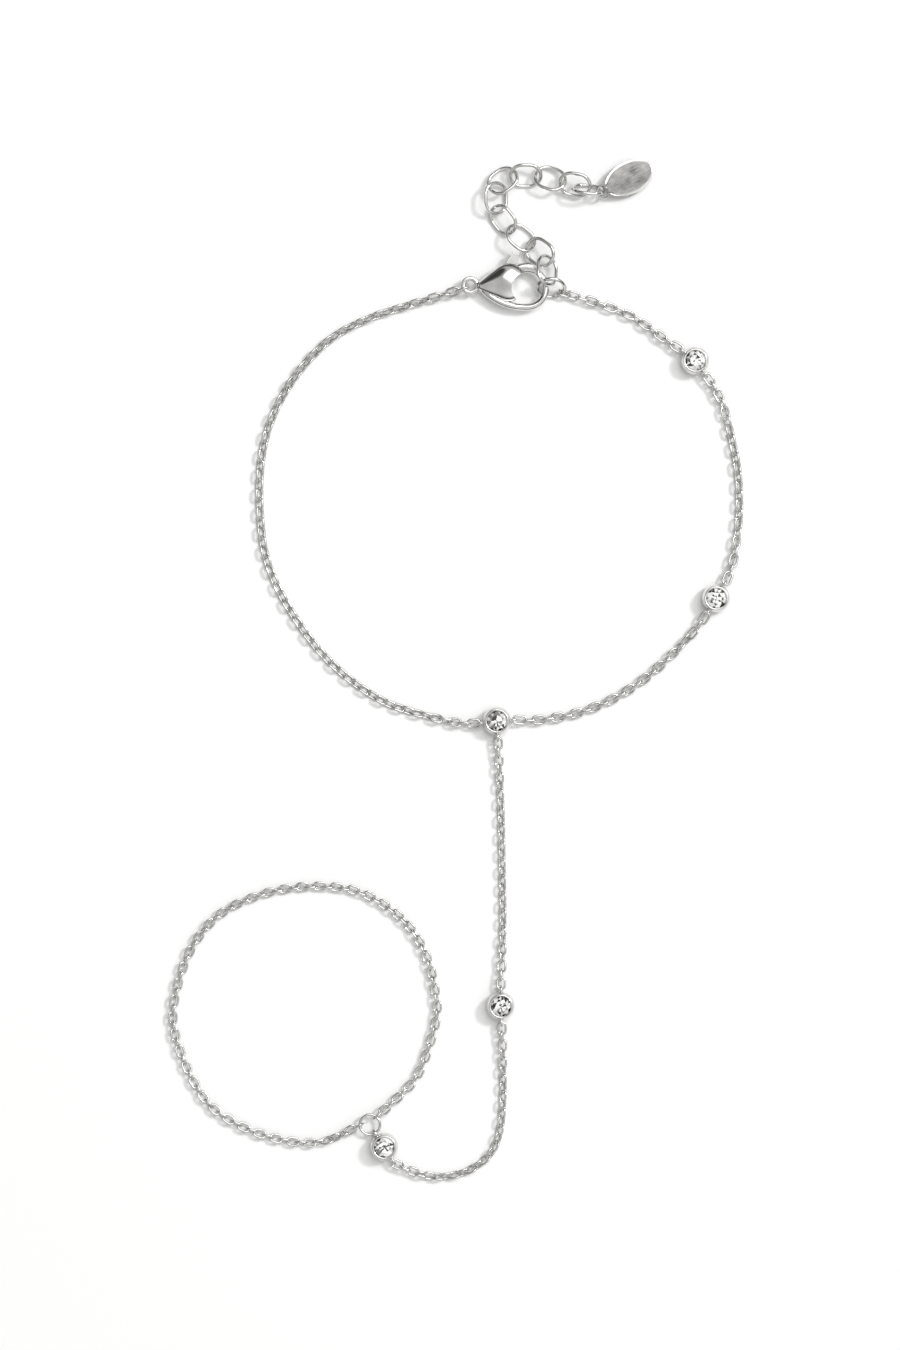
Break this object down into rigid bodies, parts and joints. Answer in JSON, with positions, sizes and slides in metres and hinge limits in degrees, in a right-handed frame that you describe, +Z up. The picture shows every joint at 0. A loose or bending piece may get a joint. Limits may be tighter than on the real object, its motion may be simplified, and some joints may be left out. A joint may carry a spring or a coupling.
{
  "type": "hand chain bracelet",
  "caption": "Steel hand chain laid flat: wrist chain with trigger clasp, extender and oval tag, stones in round settings, and a chain to a finger loop.",
  "frame": {"origin": "centre of the part's box, on the table that it lies on", "axes": "+X to the right, +Y from the finger loop towards the clasp and extender, +Z up from the table"},
  "size_m": [0.0689, 0.1226, 0.0036],
  "materials": {
    "chain_steel": "polished steel wire",
    "setting_steel": "polished cast steel",
    "polished_steel": "polished steel",
    "brushed_steel": "brushed face, polished rim",
    "clear_stone": "cut and polished clear stone"
  },
  "bodies": {
    "bracelet": {"wrist_chain_left": "chain_steel", "wrist_chain_lower": "chain_steel", "wrist_chain_right": "chain_steel", "wrist_chain_upper": "chain_steel", "hand_chain_upper": "chain_steel", "hand_chain_lower": "chain_steel", "finger_chain": "chain_steel", "setting_1": "setting_steel", "setting_2": "setting_steel", "setting_3": "setting_steel", "setting_4": "setting_steel", "setting_5": "setting_steel", "extender_link_1": "polished_steel", "extender_link_2": "polished_steel", "extender_link_3": "polished_steel", "extender_link_4": "polished_steel", "extender_link_5": "polished_steel", "extender_link_6": "polished_steel", "extender_link_7": "polished_steel", "extender_link_8": "polished_steel", "extender_link_9": "polished_steel", "tag_link": "polished_steel", "tag": "brushed_steel", "end_ring": "polished_steel", "finger_ring": "polished_steel", "clasp_body": "polished_steel", "stone_1": "clear_stone", "stone_2": "clear_stone", "stone_3": "clear_stone", "stone_4": "clear_stone", "stone_5": "clear_stone"},
    "trigger": {"clasp_trigger": "polished_steel"}
  },
  "joints": [
    {"name": "trigger_pivot", "type": "hinge", "parent": "bracelet", "child": "trigger", "pos_m": [0.00541, 0.04684, 0.00125], "axis": [0, 0, -1], "range_deg": [0, 25], "stiffness_Nm_per_rad": 0.005, "springref_deg": -17.19}
  ]
}
